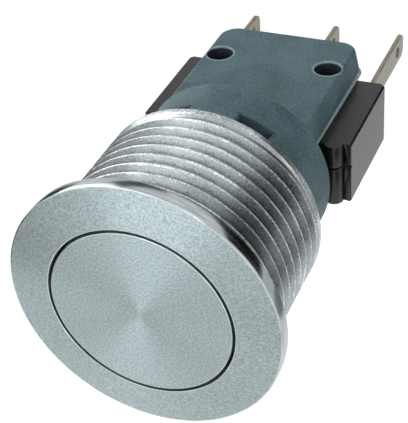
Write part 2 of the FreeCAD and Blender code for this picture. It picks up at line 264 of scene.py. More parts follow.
def noise(tree, place, size_mm, **inputs):
    """Noise whose features are about this many millimetres wide."""
    return add(tree, "TexNoise", {"Vector": place, "Scale": scale_for(size_mm), **inputs}).outputs["Fac"]


def relief(tree, height, strength, depth_mm):
    """Surface normal that follows a pattern's height."""
    return add(tree, "Bump", {"Height": height, "Strength": strength,
                              "Distance": depth_mm * MM}).outputs["Normal"]


def start_material(name):
    """A material with an empty tree, its shader and its object coordinates."""
    material = bpy.data.materials.new(name)
    material.use_nodes = True
    tree = material.node_tree
    tree.nodes.clear()
    shader = add(tree, "BsdfPrincipled")
    add(tree, "OutputMaterial", {"Surface": shader.outputs["BSDF"]})
    place = add(tree, "TexCoord").outputs["Object"]
    return material, tree, shader, place


def turned_stainless_steel():
    """Stainless steel, faced on a lathe and lightly blasted.

    The eye sees a satin grain, and two soft wedges of light where the turning marks round the axis catch it.
    """
    material, tree, shader, place = start_material("turned stainless steel")
    # Real feed marks and grain are about 0.05 mm wide, drawn coarser here so that the picture can hold them.
    # A wave texture of scale 1 has a ring every pi / 10 units.
    mark_mm = 0.16
    ring_scale = math.pi / 10 * scale_for(mark_mm)
    rings = add(tree, "TexWave", {"Vector": place, "Scale": ring_scale, "Distortion": 0.6, "Detail": 1.0},
                wave_type="RINGS", rings_direction="Y").outputs["Fac"]
    grain = noise(tree, place, mark_mm, Detail=3.0, Roughness=0.65)
    cloud = noise(tree, place, 7.0, Detail=2.0)
    tint = two_tone(tree, grain, "#808D8F", "#A5B1B3", 0.35, 0.65)
    feed(tree, shader, {
        "Base Color": tint.outputs["Color"],
        "Roughness": spread(tree, cloud, 0.36, 0.44),
        "Normal": relief(tree, combine(tree, "ADD", rings, grain), strength=0.06, depth_mm=0.02),
        "Tangent": add(tree, "Tangent", direction_type="RADIAL", axis="Y").outputs["Tangent"],
        "Metallic": 1.0,
        "Anisotropic": 0.75,
        "Anisotropic Rotation": 0.25,
    })
    return material


def threaded_stainless_steel():
    """The same steel where the thread was cut: painted highlight on the crests, painted shade in the roots,
    flanks with tool marks.
    """
    material, tree, shader, place = start_material("threaded stainless steel")
    cross = add(tree, "VectorMath", {0: place, 1: (1, 0, 1)}, operation="MULTIPLY").outputs["Vector"]
    radius = add(tree, "VectorMath", {0: cross}, operation="LENGTH").outputs["Value"]
    # Colour by radius: lighter towards the crests is painted highlight, darker towards the roots is painted
    # shade
    crest = spread(tree, radius, 0.0, 1.0, (THREAD_RADIUS - THREAD_DEPTH) * MM, THREAD_RADIUS * MM)
    speck = noise(tree, place, 0.15, Detail=3.0, Roughness=0.7)
    stain = noise(tree, place, 2.2, Detail=3.0)
    marks = spread(tree, combine(tree, "ADD", speck, stain), -0.26, 0.16, 0.75, 1.25)
    # Ramp from painted shade at the roots, through the flanks, to painted highlight on the crests
    tint = two_tone(tree, combine(tree, "ADD", crest, marks), "#757E80", "#E4E8EA", 0.0, 1.0)
    for height, tone in ((0.3, "#9DA6A9"), (0.85, "#B0B8BB"), (0.94, "#BCC3C6")):
        tint.color_ramp.elements.new(height).color = linear(tone)
    torn = spread(tree, speck, 0.78, 1.05, 0.36, 0.6)
    feed(tree, shader, {
        "Base Color": mix(tree, 1.0, tint.outputs["Color"], torn, blend_type="MULTIPLY"),
        "Roughness": spread(tree, speck, 0.26, 0.4),
        "Normal": relief(tree, speck, strength=0.25, depth_mm=0.03),
        "Metallic": 1.0,
    })
    return material


def polished_edge_steel():
    """The same steel on the rim and the broken edges, turned finer: light and dark show sharply in it."""
    material, tree, shader, place = start_material("polished edge of the stainless steel")
    round_the_rim = (0.25, 3, 0.25)
    drawn = add(tree, "Mapping", {"Vector": place, "Scale": round_the_rim}).outputs["Vector"]
    lines = noise(tree, drawn, 0.5, Detail=3.0)
    feed(tree, shader, {
        "Base Color": two_tone(tree, lines, "#9AA3A5", "#BEC5C7").outputs["Color"],
        "Roughness": spread(tree, lines, 0.14, 0.2),
        "Metallic": 1.0,
    })
    return material


def pin_hole_masks(tree, place):
    """Where the rings round the pin holes are, on the plates' faces, and the holes' walls below them: the
    rings get a painted highlight, the walls painted shade.
    """
    flat = add(tree, "VectorMath", {0: place, 1: (1, 1, 0)}, operation="MULTIPLY").outputs["Vector"]
    across = add(tree, "SeparateXYZ", {"Vector": place}).outputs["Z"]
    height = add(tree, "Math", {0: across}, operation="ABSOLUTE").outputs["Value"]
    on_face = spread(tree, height, 0.0, 1.0, (PLATE_TOP - HOLE_RIM) * MM, (PLATE_TOP - HOLE_RIM / 4) * MM)
    rings = 0.0
    painted_shade_walls = 0.0
    for x, y in pin_places():
        middle = (x * MM, y * MM, 0)
        distance = add(tree, "VectorMath", {0: flat, 1: middle}, operation="DISTANCE").outputs["Value"]
        ring = spread(tree, distance, 1.0, 0.0, HOLE_RADIUS * MM, (HOLE_RADIUS + HOLE_RIM) * MM)
        wall = combine(tree, "LESS_THAN", distance, (HOLE_RADIUS + HOLE_RIM / 4) * MM)
        rings = combine(tree, "MAXIMUM", rings, ring)
        painted_shade_walls = combine(tree, "MAXIMUM", painted_shade_walls, wall)
    below = combine(tree, "SUBTRACT", 1.0, on_face)
    return combine(tree, "MULTIPLY", rings, on_face), combine(tree, "MULTIPLY", painted_shade_walls, below)


def slate_polyamide():
    """Glass-filled polyamide, moulded in slate grey.

    The eye sees a fine matt grain, a painted highlight on the plates' foot strips and round the pin holes'
    rims, and painted shade on the pin holes' walls.
    """
    material, tree, shader, place = start_material("slate polyamide")
    grain = noise(tree, place, 0.18, Detail=2.0, Roughness=0.6)
    cloud = noise(tree, place, 3.0, Detail=2.0)
    mottle = add(tree, "Mix", {"Factor": 0.3, "A": grain, "B": cloud}, data_type="FLOAT").outputs["Result"]
    tint = two_tone(tree, mottle, "#31474D", "#5F7A81", 0.34, 0.66)
    # Painted highlight: paler on the foot strips (the edge attribute) and on the rings round the pin holes
    edges = add(tree, "Attribute", attribute_name="edge").outputs["Fac"]
    rings, painted_shade_walls = pin_hole_masks(tree, place)
    highlight_places = combine(tree, "MAXIMUM", edges, rings)
    painted_highlight = combine(tree, "MULTIPLY", highlight_places, spread(tree, grain, 0.4, 1.0))
    # Painted shade: the pin holes' walls darkened to near black slate
    painted_hole_shade = mix(tree, painted_shade_walls, tint.outputs["Color"], linear("#243136"))
    feed(tree, shader, {
        "Base Color": mix(tree, painted_highlight, painted_hole_shade, linear("#A9B8BB")),
        "Roughness": spread(tree, grain, 0.5, 0.66),
        "Normal": relief(tree, grain, strength=0.2, depth_mm=0.03),
        "IOR": 1.53,
        "Specular IOR Level": 0.3,
    })
    return material


def black_phenolic():
    """Phenolic moulding of the switch's case: near black, with a low sheen from the polished mould."""
    material, tree, shader, place = start_material("black phenolic")
    grain = noise(tree, place, 0.2, Detail=3.0)
    feed(tree, shader, {
        "Base Color": two_tone(tree, grain, "#141414", "#20201F", 0.3, 0.75).outputs["Color"],
        "Roughness": spread(tree, grain, 0.24, 0.34),
        "Normal": relief(tree, grain, strength=0.08, depth_mm=0.02),
        "IOR": 1.45,
        "Specular IOR Level": 0.45,
    })
    return material


def rolled_metal(name, dark, light, roughness, streak_mm):
    """Strip or wire metal: streaks along its length, where the rolls or the die drew it out."""
    material, tree, shader, place = start_material(name)
    drawn_out = (1, 0.08, 1)
    drawn = add(tree, "Mapping", {"Vector": place, "Scale": drawn_out}).outputs["Vector"]
    streak = noise(tree, drawn, streak_mm, Detail=3.0, Roughness=0.6)
    feed(tree, shader, {
        "Base Color": two_tone(tree, streak, dark, light).outputs["Color"],
        "Roughness": spread(tree, streak, roughness - 0.06, roughness + 0.06),
        "Normal": relief(tree, streak, strength=0.12, depth_mm=0.02),
        "Metallic": 1.0,
    })
    return material


def moulded_polymer(name, dark, light, roughness, ior):
    """Plain moulded acetal or rubber: an even colour with a faint mottle and a soft sheen."""
    material, tree, shader, place = start_material(name)
    mottle = noise(tree, place, 0.4, Detail=2.0)
    feed(tree, shader, {
        "Base Color": two_tone(tree, mottle, dark, light).outputs["Color"],
        "Normal": relief(tree, mottle, strength=0.1, depth_mm=0.02),
        "Roughness": roughness,
        "IOR": ior,
    })
    return material


def link_new(name, mesh):
    """New object with a mesh, in the scene."""
    piece = bpy.data.objects.new(name, mesh)
    bpy.context.scene.collection.objects.link(piece)
    return piece


def finish_piece(name, bm, materials, body, node):
    """Close a mesh, scale it to metres, and put it on its body in place of its node."""
    bmesh.ops.remove_doubles(bm, verts=bm.verts, dist=MERGE)
    bmesh.ops.recalc_face_normals(bm, faces=bm.faces)
    bmesh.ops.scale(bm, vec=(MM, MM, MM), verts=bm.verts)
    mesh = bpy.data.meshes.new(name)
    bm.to_mesh(mesh)
    bm.free()
    mesh.shade_smooth()
    mesh.set_sharp_from_angle(angle=math.radians(SHARP_ANGLE))
    for material in materials:
        mesh.materials.append(material)
    piece = link_new(name, mesh)
    even = piece.modifiers.new("even shading", "WEIGHTED_NORMAL")
    even.keep_sharp = True
    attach(piece, body)
    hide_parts(node)


def whole(bm):
    """All that a mesh is made of."""
    return bm.verts[:] + bm.edges[:] + bm.faces[:]


def radius_of(point):
    """Distance of a point from the button's axis."""
    return math.hypot(point.x, point.z)


def spin_outline(bm, outline, steps):
    """Turn an outline of (radius, y) points once about the button's axis."""
    verts = [bm.verts.new((radius, y, 0)) for radius, y in outline]
    edges = [bm.edges.new(pair) for pair in zip(verts, verts[1:])]
    bmesh.ops.spin(bm, geom=verts + edges, cent=(0, 0, 0), axis=AXIS, dvec=(0, 0, 0),
                   angle=2 * math.pi, steps=steps, use_merge=True)


def boundary_at(bm, y):
    """Open edges that lie in the plane across the axis at y."""
    return [e for e in bm.edges if e.is_boundary and all(abs(v.co.y - y) < NEAR for v in e.verts)]


def thread_outline():
    """One pitch of the thread from crest to crest, as (y within the pitch, depth), with rounded crests."""
    crest = THREAD_CREST / 2
    root = THREAD_ROOT / 2
    middle = THREAD_PITCH / 2
    half = [(0, 0), (crest, 0)]
    for along, deep in CREST_ARC:
        half.append((crest + THREAD_ROUND * along, THREAD_ROUND * deep))
    half.append((middle - root - THREAD_ROUND, THREAD_DEPTH - THREAD_ROUND))
    half.append((middle - root, THREAD_DEPTH))
    return half + [(THREAD_PITCH - y, depth) for y, depth in reversed(half[1:])]


def cut_thread(bm, last_y):
    """Right-hand thread: the outline of all turns goes round once while it rises by one pitch."""
    quarter_turns_to_top = 3
    first = THREAD_TOP_CREST - THREAD_PITCH * quarter_turns_to_top / 4
    turns_before = 3
    count = int(last_y / THREAD_PITCH) + 2 * turns_before
    verts = []
    for turn in range(-turns_before, count - turns_before):
        for y, depth in thread_outline():
            verts.append(bm.verts.new((THREAD_RADIUS - depth, first + turn * THREAD_PITCH + y, 0)))
    edges = [bm.edges.new(pair) for pair in zip(verts, verts[1:])]
    long_edge = THREAD_DEPTH / 3
    flanks = [e for e in edges if e.calc_length() > long_edge]
    bmesh.ops.subdivide_edges(bm, edges=flanks, cuts=3)
    bmesh.ops.spin(bm, geom=bm.verts[:] + bm.edges[:], cent=(0, 0, 0), axis=AXIS,
                   dvec=AXIS * (THREAD_PITCH / TURN_STEPS), angle=2 * math.pi, steps=TURN_STEPS,
                   use_merge=False)
    bmesh.ops.remove_doubles(bm, verts=bm.verts, dist=NEAR)
    fade_run_out(bm)
    for y, outward in ((THREAD_START, -AXIS), (last_y, AXIS)):
        bmesh.ops.bisect_plane(bm, geom=whole(bm), plane_co=(0, y, 0), plane_no=outward, clear_outer=True)


def fade_run_out(bm):
    """Let the thread grow shallow towards the barrel's end, until only the full radius is left."""
    for vert in bm.verts:
        share = min(max((RUN_OUT_END - vert.co.y) / (RUN_OUT_END - RUN_OUT_START), 0), 1)
        radius = radius_of(vert.co)
        target = THREAD_RADIUS - (THREAD_RADIUS - radius) * share
        vert.co.x *= target / radius
        vert.co.z *= target / radius


def build_housing(steel, thread_steel, edge_steel):
    """Flange and bore turned from one outline, with the thread cut round the barrel."""
    threaded = 1
    polished = 2
    rim = min(-housing_low.x, -housing_low.z, housing_high.x, housing_high.z) - BOX_MARGIN
    front = housing_low.y
    back = housing_high.y
    bore = button_high.x + BUTTON_GAP
    barrel_end = back - BARREL_CHAMFER
    bm = bmesh.new()
    cut_thread(bm, barrel_end)
    for face in bm.faces:
        face.material_index = threaded
    spin_outline(bm, [
        (RELIEF_RADIUS, THREAD_START),
        (RELIEF_RADIUS, 0),
        (rim - FLANGE_BREAK, 0),
        (rim, -FLANGE_BREAK),
        (rim, -FLANGE_EDGE + FLANGE_BREAK),
        (rim - FLANGE_BREAK * ROUNDING, -FLANGE_EDGE + FLANGE_BREAK * ROUNDING),
        (rim - FLANGE_BREAK, -FLANGE_EDGE),
        (bore + GAP_BREAK, front),
        (bore + GAP_BREAK * ROUNDING, front + GAP_BREAK * ROUNDING),
        (bore, front + GAP_BREAK),
        (bore, WEB_FRONT),
        (STEM_BORE, WEB_FRONT),
        (STEM_BORE, WEB_BACK),
        (LATCH_RADIUS, WEB_BACK),
        (LATCH_RADIUS, LATCH_Y),
        (REAR_BORE, LATCH_Y),
        (REAR_BORE, back),
        (THREAD_RADIUS - BARREL_CHAMFER, back),
        (THREAD_RADIUS, barrel_end),
    ], TURN_STEPS)
    for y in (THREAD_START, barrel_end):
        bmesh.ops.bridge_loops(bm, edges=boundary_at(bm, y))
    for face in bm.faces:
        middle = face.calc_center_median()
        at_rim = radius_of(middle) > rim - FLANGE_BREAK
        at_gap = bore < radius_of(middle) < bore + GAP_BREAK and middle.y < front + GAP_BREAK
        if at_rim or at_gap:
            face.material_index = polished
    finishes = [steel, thread_steel, edge_steel]
    finish_piece("button_housing", bm, finishes, "sleeve", "housing")


def build_button(steel, edge_steel):
    """Flush round cap with a thin broken edge, a skirt, and the boss that holds the stem."""
    polished = 1
    radius = button_high.x
    front = button_low.y
    boss_back = button_high.y
    bm = bmesh.new()
    spin_outline(bm, [
        (0, front),
        (radius - GAP_BREAK, front),
        (radius - GAP_BREAK * ROUNDING, front + GAP_BREAK * ROUNDING),
        (radius, front + GAP_BREAK),
        (radius, BUTTON_SKIRT),
        (radius - BUTTON_WALL, BUTTON_SKIRT),
        (radius - BUTTON_WALL, BUTTON_FLOOR),
        (BOSS_RADIUS, BUTTON_FLOOR),
        (BOSS_RADIUS, boss_back),
        (SPIGOT_RADIUS, boss_back),
        (SPIGOT_RADIUS, boss_back - SPIGOT_LENGTH),
        (0, boss_back - SPIGOT_LENGTH),
    ], TURN_STEPS)
    for face in bm.faces:
        middle = face.calc_center_median()
        if radius_of(middle) > radius - GAP_BREAK and middle.y < front + GAP_BREAK:
            face.material_index = polished
    finish_piece("push_button", bm, [steel, edge_steel], "button_group", "button")


def extrude_by(bm, faces, step):
    """Extrude faces by a step, and give the vertices that moved."""
    grown = bmesh.ops.extrude_face_region(bm, geom=faces)
    verts = [part for part in grown["geom"] if isinstance(part, bmesh.types.BMVert)]
    bmesh.ops.translate(bm, vec=step, verts=verts)
    return verts


def break_edges(bm, edges, width, segments):
    """Round edges over."""
    bmesh.ops.bevel(bm, geom=edges, offset=width, offset_type="OFFSET", affect="EDGES", segments=segments,
                    profile=0.5, material=-1, clamp_overlap=True)


def sharp_edges(bm, least=CREASE):
    """Edges at which two faces meet by more than an angle in degrees."""
    return [e for e in bm.edges if len(e.link_faces) == 2 and e.calc_face_angle() > math.radians(least)]


def from_top(face):
    """Angle of a face's middle round the axis, from the top or bottom, whichever is nearer."""
    middle = face.calc_center_median()
    return math.degrees(math.atan2(abs(middle.x), abs(middle.z)))


def faces_across(bm, y, inside):
    """Faces that lie across the axis at y, inside a radius and outside the relief slots."""
    found = []
    for face in bm.faces:
        middle = face.calc_center_median()
        in_slot = TONGUE_HALF < from_top(face) < SLOT_FAR
        across = abs(middle.y - y) < NEAR and abs(face.normal.y) > 1 - FACES_OUT
        if across and radius_of(middle) < inside and not in_slot:
            found.append(face)
    return found


def pin_places():
    """Middles of the two pins, as (x, y)."""
    x = (pins_high.x - pins_low.x) / 2 - PIN_RADIUS
    y = (pins_high.y + pins_low.y) / 2
    return [(-x, y), (x, y)]


def lay_plate_outline(bm, z, draft):
    """Flat face of a plate at one height, let out by the draft, with round rear corners."""
    half = PLATE_WIDTH / 2 + draft
    back = carrier_high.y - PLATE_DRAFT + draft
    front = COLLAR_BACK - PLATE_ROOT
    verts = [bm.verts.new((x, y, z)) for x, y in ((-half, front), (half, front), (half, back), (-half, back))]
    bm.faces.new(verts)
    bmesh.ops.bevel(bm, geom=verts[2:], offset=PLATE_CORNER + draft, offset_type="OFFSET", affect="VERTICES",
                    segments=CORNER_STEPS, profile=0.5, material=-1)


def pierce(bm, rods):
    """Cut rods out of a mesh, and give the pierced mesh."""
    pieces = []
    for name, part in (("plate", bm), ("rods", rods)):
        mesh = bpy.data.meshes.new(name)
        part.to_mesh(mesh)
        part.free()
        pieces.append(link_new(name, mesh))
    plate, cutters = pieces
    holes = plate.modifiers.new("holes", "BOOLEAN")
    holes.operation = "DIFFERENCE"
    holes.solver = "EXACT"
    holes.object = cutters
    pierced = bmesh.new()
    pierced.from_object(plate, bpy.context.evaluated_depsgraph_get())
    for piece in pieces:
        mesh = piece.data
        bpy.data.objects.remove(piece)
        bpy.data.meshes.remove(mesh)
    return pierced


def shape_plate():
    """Plate over the switch: leaning sides, round rear corners, soft upper edges and two pin holes."""
    bm = bmesh.new()
    lay_plate_outline(bm, PLATE_FOOT, PLATE_DRAFT)
    lay_plate_outline(bm, PLATE_TOP, 0)
    bmesh.ops.bridge_loops(bm, edges=bm.edges[:])
    bmesh.ops.recalc_face_normals(bm, faces=bm.faces)
    upper = []
    for edge in sharp_edges(bm):
        on_top = all(v.co.z > PLATE_TOP - NEAR for v in edge.verts)
        if on_top and max(v.co.y for v in edge.verts) > COLLAR_BACK:
            upper.append(edge)
    break_edges(bm, upper, PLATE_ROUND, PLATE_ROUND_STEPS)
    bmesh.ops.bisect_plane(bm, geom=whole(bm), plane_co=(0, 0, PLATE_FOOT + FOOT_STRIP), plane_no=(0, 0, 1))
    rods = bmesh.new()
    right_through = 4 * PLATE_TOP
    for x, y in pin_places():
        bmesh.ops.create_cone(rods, cap_ends=True, segments=HOLE_STEPS, radius1=HOLE_RADIUS,
                              radius2=HOLE_RADIUS, depth=right_through, matrix=Matrix.Translation((x, y, 0)))
    bmesh.ops.recalc_face_normals(rods, faces=rods.faces)
    return pierce(bm, rods)


def on_pin_hole(point):
    """Whether a point lies on the wall of a pin hole."""
    return any(abs(math.hypot(point.x - x, point.y - y) - HOLE_RADIUS) < NEAR for x, y in pin_places())


def flare_foot_and_mark_highlight(bm):
    """Flare the strip along the plate's foot into a small lip, and mark it for a painted highlight along the
    foot.
    """
    # Faces of the foot strip get 1 in the edge attribute, which the slate paints paler as a painted highlight
    painted_highlight = bm.faces.layers.float.new("edge")
    lip = set()
    for face in bm.faces:
        heights = [v.co.z for v in face.verts]
        on_strip = max(heights) < PLATE_FOOT + FOOT_STRIP + NEAR and max(heights) - min(heights) > NEAR
        if on_strip and not all(on_pin_hole(v.co) for v in face.verts):
            face[painted_highlight] = 1.0
            lip.update(v for v in face.verts if v.co.z < PLATE_FOOT + NEAR and v.co.y > COLLAR_BACK)
    flare = 1 + LIP_FLARE / (PLATE_WIDTH / 2)
    bmesh.ops.scale(bm, vec=(flare, 1, 1), verts=list(lip))


def build_carrier(slate):
    """Collar and plug cut by relief slots beside two snap tongues, and a plate each side of the switch."""
    collar = carrier_high.x
    plug_front = carrier_low.y
    bm = shape_plate()
    flare_foot_and_mark_highlight(bm)
    bmesh.ops.mirror(bm, geom=whole(bm), matrix=Matrix.Identity(4), merge_dist=0.0, axis="Z")
    spin_outline(bm, [
        (STEM_BORE, FLOOR_FRONT),
        (HOLLOW_RADIUS, FLOOR_FRONT),
        (HOLLOW_RADIUS, SLOT_END),
        (PLUG_RADIUS, SLOT_END),
        (collar, SLOT_END),
        (collar, COLLAR_BACK),
        (STEM_BORE, COLLAR_BACK),
        (STEM_BORE, FLOOR_FRONT),
    ], RING_STEPS)
    bmesh.ops.remove_doubles(bm, verts=bm.verts, dist=MERGE)
    bmesh.ops.recalc_face_normals(bm, faces=bm.faces)
    hook_front = HOOK_BACK - HOOK_LENGTH
    stations = (SLOT_END, COLLAR_FRONT, HOOK_BACK, hook_front, plug_front)
    inside = collar
    for y, end in zip(stations, stations[1:]):
        extrude_by(bm, faces_across(bm, y, inside), (0, end - y, 0))
        bm.normal_update()
        inside = PLUG_RADIUS
    raise_hooks(bm)
    bmesh.ops.recalc_face_normals(bm, faces=bm.faces)
    rims = []
    for edge in sharp_edges(bm):
        ends = [v.co for v in edge.verts]
        if all(radius_of(p) > collar - NEAR and COLLAR_FRONT - NEAR < p.y < COLLAR_BACK + NEAR for p in ends):
            rims.append(edge)
    break_edges(bm, rims, COLLAR_BREAK, 3)
    raise_parting_line(bm, collar)
    finish_piece("switch_carrier", bm, [slate], "sleeve", "carrier")


def raise_parting_line(bm, collar):
    """Fine ridge along both sides of the collar, where the mould's halves met."""
    strip = []
    for face in bm.faces:
        middle = face.calc_center_median()
        beside = 0 < math.degrees(math.atan2(middle.z, abs(middle.x))) < PARTING_ANGLE
        on_skin = abs(radius_of(middle) - collar) < FACET_SAG
        if beside and on_skin and abs(face.normal.y) < FACES_OUT:
            strip.append(face)
    bmesh.ops.inset_region(bm, faces=strip, thickness=PARTING_WIDTH, depth=PARTING_HEIGHT,
                           use_even_offset=True)


def raise_hooks(bm):
    """Ramp on each tongue that snaps behind the step in the housing's bore."""
    ramps = []
    for face in bm.faces:
        middle = face.calc_center_median()
        on_skin = abs(radius_of(middle) - PLUG_RADIUS) < FACET_SAG
        in_reach = HOOK_BACK - HOOK_LENGTH < middle.y < HOOK_BACK
        if on_skin and in_reach and from_top(face) < TONGUE_HALF and abs(face.normal.y) < FACES_OUT:
            ramps.append(face)
    verts = extrude_by(bm, ramps, (0, 0, 0))
    grow = (PLUG_RADIUS + HOOK_HEIGHT) / PLUG_RADIUS
    bmesh.ops.scale(bm, vec=(grow, 1, grow), verts=verts)
    for vert in verts:
        vert.co.y = max(vert.co.y, HOOK_BACK - HOOK_FLAT)


def copy_solid(node):
    """Copy of a node's mesh in millimetres, merged, with its flat faces joined."""
    bm = bmesh.new()
    bm.from_mesh(frame["nodes"][node].data)
    bmesh.ops.scale(bm, vec=(1 / MM, 1 / MM, 1 / MM), verts=bm.verts)
    bmesh.ops.remove_doubles(bm, verts=bm.verts, dist=NEAR)
    bmesh.ops.dissolve_limit(bm, angle_limit=math.radians(FLAT_ANGLE), verts=bm.verts[:], edges=bm.edges[:])
    return bm


def on_case_skin(edge):
    """Whether an edge is on the case's outside, and not at a slot, the plunger's hole or the rear seam."""
    ends = [v.co for v in edge.verts]
    front = case_low.y + COLUMN_SETBACK + CASE_SKIN
    if all(abs(p.z - seam_z) < NEAR for p in ends) and any(p.y > front for p in ends):
        return False
    for p in ends:
        at_end = p.x < case_low.x + CASE_SKIN or p.x > cover_high.x - CASE_SKIN
        at_back = p.y > cover_high.y - CASE_SKIN and all(abs(p.x - x) > TAB_ROOM for x in TAB_PLACES)
        at_front = p.y < front and abs(p.x) > PLUNGER_ROOM
        if not (at_end or at_back or at_front):
            return False
    return True


def fade_grooves(bm):
    """Bring the end grooves' floors forward at the case's top and bottom, so that they fade out there."""
    for vert in bm.verts:
        in_groove = GROOVE_NEAR < min(vert.co.x - case_low.x, cover_high.x - vert.co.x) < GROOVE_FAR
        at_face = vert.co.z > cover_high.z - NEAR or vert.co.z < case_low.z + NEAR
        if in_groove and at_face and abs(vert.co.y - GROOVE_FLOOR) < NEAR:
            vert.co.y = GROOVE_SHALLOW


def open_seam(bm, side):
    """Let the front skin fall back towards the seam, which leaves a dark line between the case's halves."""
    bmesh.ops.bisect_plane(bm, geom=whole(bm), plane_co=(0, 0, seam_z + side * SEAM_HALF), plane_no=(0, 0, 1))
    front = case_low.y + COLUMN_SETBACK
    at_seam = [v for v in bm.verts if abs(v.co.z - seam_z) < NEAR]
    skin = [v for v in at_seam if v.co.y < front and abs(v.co.x) > PLUNGER_ROOM]
    bmesh.ops.translate(bm, vec=(0, SEAM_DEPTH, 0), verts=skin)


def build_case_half(name, node, side, black):
    """Half of the switch's case, below (-1) or above (1) the seam, with its outer edges rounded over."""
    bm = copy_solid(node)
    fade_grooves(bm)
    open_seam(bm, side)
    break_edges(bm, [e for e in sharp_edges(bm, FINE_CREASE) if on_case_skin(e)], CASE_BREAK, 2)
    finish_piece(name, bm, [black], "sleeve", node)


def build_terminal(node, tinned):
    """Flat pierced tab with round corners and burred edges, on the bent strip inside the case."""
    root = cover_high.y - TAB_ROOT
    tip = box_mm(node)[1].y
    bm = copy_solid(node)
    bmesh.ops.bisect_plane(bm, geom=whole(bm), plane_co=(0, root, 0), plane_no=AXIS)
    corners = []
    for edge in sharp_edges(bm, FINE_CREASE):
        first, second = (v.co for v in edge.verts)
        along_x = abs(first.y - second.y) < NEAR and abs(first.z - second.z) < NEAR
        if along_x and first.y > tip - TAB_CORNER - NEAR:
            corners.append(edge)
    break_edges(bm, corners, TAB_CORNER / 2, 3)
    rims = []
    for edge in sharp_edges(bm):
        first, second = (v.co for v in edge.verts)
        near_end, far_end = sorted((first.y, second.y))
        on_tab = near_end > root - NEAR and far_end > root + NEAR
        if on_tab and abs(first.x - second.x) < NEAR and (first - second).length > NEAR:
            rims.append(edge)
    break_edges(bm, rims, TAB_BREAK, 2)
    finish_piece(node + "_tab", bm, [tinned], "sleeve", node)


def build_pins(blued):
    """Two steel pins through the plates and the switch, with their ends set below the plates' faces."""
    bm = bmesh.new()
    for x, y in pin_places():
        pin = bmesh.ops.create_cone(bm, cap_ends=True, segments=HOLE_STEPS, radius1=PIN_RADIUS,
                                    radius2=PIN_RADIUS, depth=pins_high.z - pins_low.z,
                                    matrix=Matrix.Translation((x, y, 0)))
        own = set(pin["verts"])
        level = [e for e in bm.edges if abs(e.verts[0].co.z - e.verts[1].co.z) < NEAR]
        break_edges(bm, [e for e in level if e.verts[0] in own], PIN_BREAK, 3)
    finish_piece("pins_through_switch", bm, [blued], "sleeve", "switch_pins")


def let_springs_give():
    """Give the coil and the leaf spring meshes of their own."""
    for node, keep in (("return_spring", COIL_KEEP), ("snap_spring", LEAF_KEEP)):
        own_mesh(frame["nodes"][node])


def stand_camera():
    """Camera of the photograph, turned about its own axis by the photo's tilt."""
    turn = math.radians(CAMERA_AZIMUTH)
    lift = math.radians(CAMERA_ELEVATION)
    roll = math.radians(CAMERA_ROLL)
    back = Vector((math.sin(turn) * math.cos(lift), -math.cos(turn) * math.cos(lift), math.sin(lift)))
    right = Vector((math.cos(turn), math.sin(turn), 0))
    up = back.cross(right)
    rolled_right = right * math.cos(roll) + up * math.sin(roll)
    rolled_up = up * math.cos(roll) - right * math.sin(roll)
    data = bpy.data.cameras.new("camera")
    data.sensor_fit = "HORIZONTAL"
    data.sensor_width = SENSOR
    data.lens = CAMERA_LENS
    data.clip_start = MM
    camera = link_new("camera", data)
    place = Matrix.Translation((CAMERA_TARGET + back * CAMERA_DISTANCE) * MM)
    camera.matrix_world = place @ Matrix((rolled_right, rolled_up, back)).transposed().to_4x4()
    bpy.context.scene.camera = camera


def seen_directly(tree):
    """1 for what the camera, a reflection or a clear piece sees, and 0 for light that falls on a surface."""
    path = add(tree, "LightPath")
    seen = path.outputs["Is Camera Ray"]
    for ray in ("Is Glossy Ray", "Is Transmission Ray"):
        seen = combine(tree, "MAXIMUM", seen, path.outputs[ray])
    return seen


def stage_piece(name, bm, material):
    """Piece of the studio, which isn't part of the object."""
    mesh = bpy.data.meshes.new(name)
    bm.to_mesh(mesh)
    bm.free()
    mesh.materials.append(material)
    piece = link_new(name, mesh)
    return piece


def lay_floor():
    """Plain white floor well below the part, which hangs by its panel mount. It keeps the soft shadow."""
    material, tree, shader, place = start_material("white paper")
    grain = noise(tree, place, 3.0)
    feed(tree, shader, {
        "Base Color": two_tone(tree, grain, "#F2F2F2", "#F6F6F6", 0.0, 1.0).outputs["Color"],
        "Emission Strength": spread(tree, seen_directly(tree), 0.0, FLOOR_GLOW, 0.0, 1.0),
        "Emission Color": linear("#FFFFFF"),
        "Roughness": 0.9,
    })
    bm = bmesh.new()
    bmesh.ops.create_circle(bm, cap_ends=True, radius=FLOOR_RADIUS, segments=64)
    bmesh.ops.translate(bm, vec=(0, 0, FLOOR_Z), verts=bm.verts)
    stage_piece("floor", bm, material)


def card_cloth(name, dark, light):
    """Cloth of the studio's cards, which give the metal its darker reflections."""
    material, tree, shader, place = start_material(name)
    nap = noise(tree, place, 1.0)
    feed(tree, shader, {
        "Base Color": two_tone(tree, nap, dark, light, 0.0, 1.0).outputs["Color"],
        "Roughness": 1.0,
        "Specular IOR Level": 0.0,
    })
    return material


def show_only_in_reflections(card):
    """Hide a card from the camera and from the light that falls on the part."""
    card.visible_camera = False
    card.visible_diffuse = False
    card.visible_shadow = False
    card.visible_transmission = False


def hang_card(name, cloth, azimuths, elevations):
    """Curved card round the part, between two azimuths and two elevations in degrees."""
    first, last = azimuths
    bm = bmesh.new()
    ends = []
    for lift in elevations:
        ends.append(bm.verts.new((0, -CARD_DISTANCE, CARD_DISTANCE * math.tan(math.radians(lift)))))
    edge = bm.edges.new(ends)
    turn = Matrix.Rotation(math.radians(first), 4, "Z")
    bmesh.ops.transform(bm, matrix=turn, verts=bm.verts)
    bmesh.ops.spin(bm, geom=ends + [edge], cent=(0, 0, 0), axis=(0, 0, 1), dvec=(0, 0, 0),
                   angle=math.radians(last - first), steps=24, use_merge=False)
    bmesh.ops.translate(bm, vec=CAMERA_TARGET * MM, verts=bm.verts)
    show_only_in_reflections(stage_piece(name, bm, cloth))


